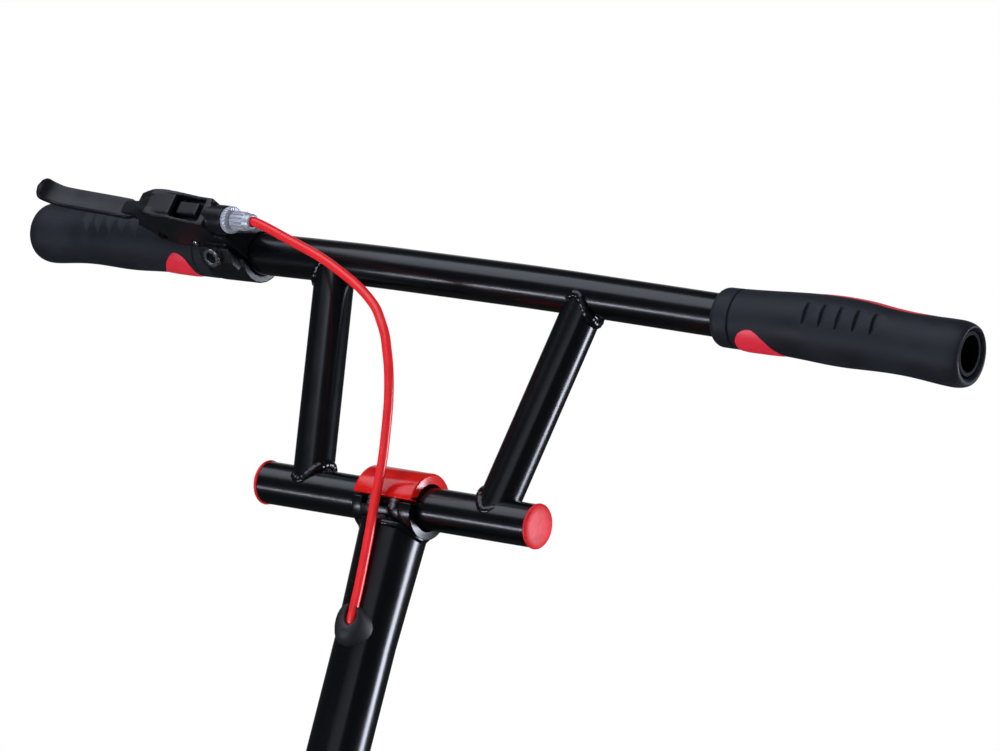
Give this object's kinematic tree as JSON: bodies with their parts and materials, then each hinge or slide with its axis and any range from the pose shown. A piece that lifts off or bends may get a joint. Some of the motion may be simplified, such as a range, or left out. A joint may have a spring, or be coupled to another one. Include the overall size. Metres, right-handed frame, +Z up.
{
  "type": "scooter",
  "caption": "Two-wheeled kick scooter with spoked wheels, an H-shaped handlebar clamped on a flared column, a hand brake with a cable, a gripped deck and a centre stand.",
  "frame": {"origin": "on the ground, midway between the axles", "axes": "+Z up, the scooter heads along -Y, +X is the rider's left"},
  "size_m": [0.6064, 1.0799, 0.9005],
  "materials": {
    "black_paint": "gloss black paint",
    "red_paint": "gloss red paint",
    "red_plastic": "smooth red plastic",
    "black_plastic": "satin black",
    "black_rubber": "matt moulded rubber",
    "tyre": "matt tread rubber",
    "steel": "zinc plated",
    "aluminium": "bare, lightly brushed",
    "grip_tape": "coarse grit on a backing"
  },
  "bodies": {
    "frame": {"frame": "black_paint", "deck_plate": "black_plastic", "grip_tape": "grip_tape", "deck_screw_front": "steel", "deck_screw_rear": "steel", "headset_cup_lower": "black_paint", "headset_cup_upper": "black_paint", "headset_bearing_lower": "steel", "headset_bearing_upper": "steel", "rear_axle": "steel", "rear_axle_nut_left": "steel", "rear_axle_nut_right": "steel"},
    "steering": {"fork": "black_paint", "headset_crown_race": "steel", "headset_top_cone": "steel", "headset_lock_nut": "black_paint", "column": "black_paint", "column_collar": "black_paint", "collar_bolt_lower": "steel", "collar_bolt_upper": "steel", "clamp_cap": "red_paint", "clamp_bolt_front_left": "steel", "clamp_bolt_front_right": "steel", "clamp_bolt_rear_left": "steel", "clamp_bolt_rear_right": "steel", "front_axle": "steel", "front_axle_nut_left": "steel", "front_axle_nut_right": "steel", "brake_plate": "aluminium", "cable_grommet": "black_rubber", "cable_housing_lower": "red_plastic", "brake_wire_lower": "steel"},
    "handlebar": {"handlebar": "black_paint", "end_plug_left": "red_plastic", "end_plug_right": "red_plastic", "grip_left": "black_rubber", "grip_right": "black_rubber", "lever_bracket": "black_paint", "lever_pivot_pin": "steel", "bracket_clamp_bolt": "steel", "bracket_set_screw": "steel", "cable_housing_upper": "red_plastic", "brake_wire_upper": "steel"},
    "brake_lever": {"lever_blade": "black_paint", "cable_nipple": "steel"},
    "barrel_adjuster": {"barrel_adjuster": "aluminium"},
    "adjuster_lock_ring": {"adjuster_lock_ring": "aluminium"},
    "front_wheel": {"front_wheel": "black_plastic", "front_tyre": "tyre", "front_bearing_left": "steel", "front_bearing_right": "steel"},
    "rear_wheel": {"rear_wheel": "black_plastic", "rear_tyre": "tyre", "rear_bearing_left": "steel", "rear_bearing_right": "steel"},
    "brake_cam_arm": {"brake_cam_arm": "steel"},
    "brake_shoe_front": {"brake_shoe_front": "aluminium"},
    "brake_shoe_rear": {"brake_shoe_rear": "aluminium"},
    "stand": {"stand": "steel"}
  },
  "joints": [
    {"name": "steering", "type": "hinge", "parent": "frame", "child": "steering", "pos_m": [0, -0.2846, 0.33724], "axis": [0, 0.342, 0.9397], "continuous": true},
    {"name": "bar_tilt", "type": "hinge", "parent": "steering", "child": "handlebar", "pos_m": [0, -0.13206, 0.75635], "axis": [1, 0, 0], "range_deg": [-20, 20], "deforming": ["cable_housing_upper"]},
    {"name": "brake_lever", "type": "hinge", "parent": "handlebar", "child": "brake_lever", "pos_m": [-0.19057, -0.09836, 0.87943], "axis": [-0.024, -0.5725, -0.8195], "range_deg": [0, 12], "stiffness_Nm_per_rad": 0.5, "springref_deg": -8.59, "deforming": ["brake_wire_upper"]},
    {"name": "barrel_adjuster", "type": "hinge", "parent": "handlebar", "child": "barrel_adjuster", "pos_m": [-0.13836, -0.11264, 0.88787], "axis": [0.9957, -0.0871, 0.0317], "range_deg": [-180, 180]},
    {"name": "adjuster_lock_ring", "type": "hinge", "parent": "handlebar", "child": "adjuster_lock_ring", "pos_m": [-0.13836, -0.11264, 0.88787], "axis": [0.9957, -0.0871, 0.0317], "range_deg": [-180, 180]},
    {"name": "front_wheel_spin", "type": "hinge", "parent": "steering", "child": "front_wheel", "pos_m": [0, -0.39, 0.15], "axis": [1, 0, 0], "continuous": true},
    {"name": "rear_wheel_spin", "type": "hinge", "parent": "frame", "child": "rear_wheel", "pos_m": [0, 0.39, 0.15], "axis": [1, 0, 0], "continuous": true},
    {"name": "brake_cam", "type": "hinge", "parent": "steering", "child": "brake_cam_arm", "pos_m": [0, -0.40503, 0.17888], "axis": [-1, 0, 0], "range_deg": [0, 3.4], "deforming": ["brake_wire_lower"]},
    {"name": "brake_shoe_front", "type": "hinge", "parent": "steering", "child": "brake_shoe_front", "pos_m": [0, -0.37497, 0.12112], "axis": [1, 0, 0], "range_deg": [0, 0.9]},
    {"name": "brake_shoe_rear", "type": "hinge", "parent": "steering", "child": "brake_shoe_rear", "pos_m": [0, -0.37497, 0.12112], "axis": [-1, 0, 0], "range_deg": [0, 0.9]},
    {"name": "stand", "type": "hinge", "parent": "frame", "child": "stand", "pos_m": [0, 0.07, 0.049], "axis": [1, 0, 0], "range_deg": [0, 85]}
  ],
  "couplings": [
    {"joint": "brake_cam", "follows": "brake_lever", "ratio": 0.262},
    {"joint": "brake_shoe_front", "follows": "brake_lever", "ratio": 0.067},
    {"joint": "brake_shoe_rear", "follows": "brake_lever", "ratio": 0.067}
  ]
}
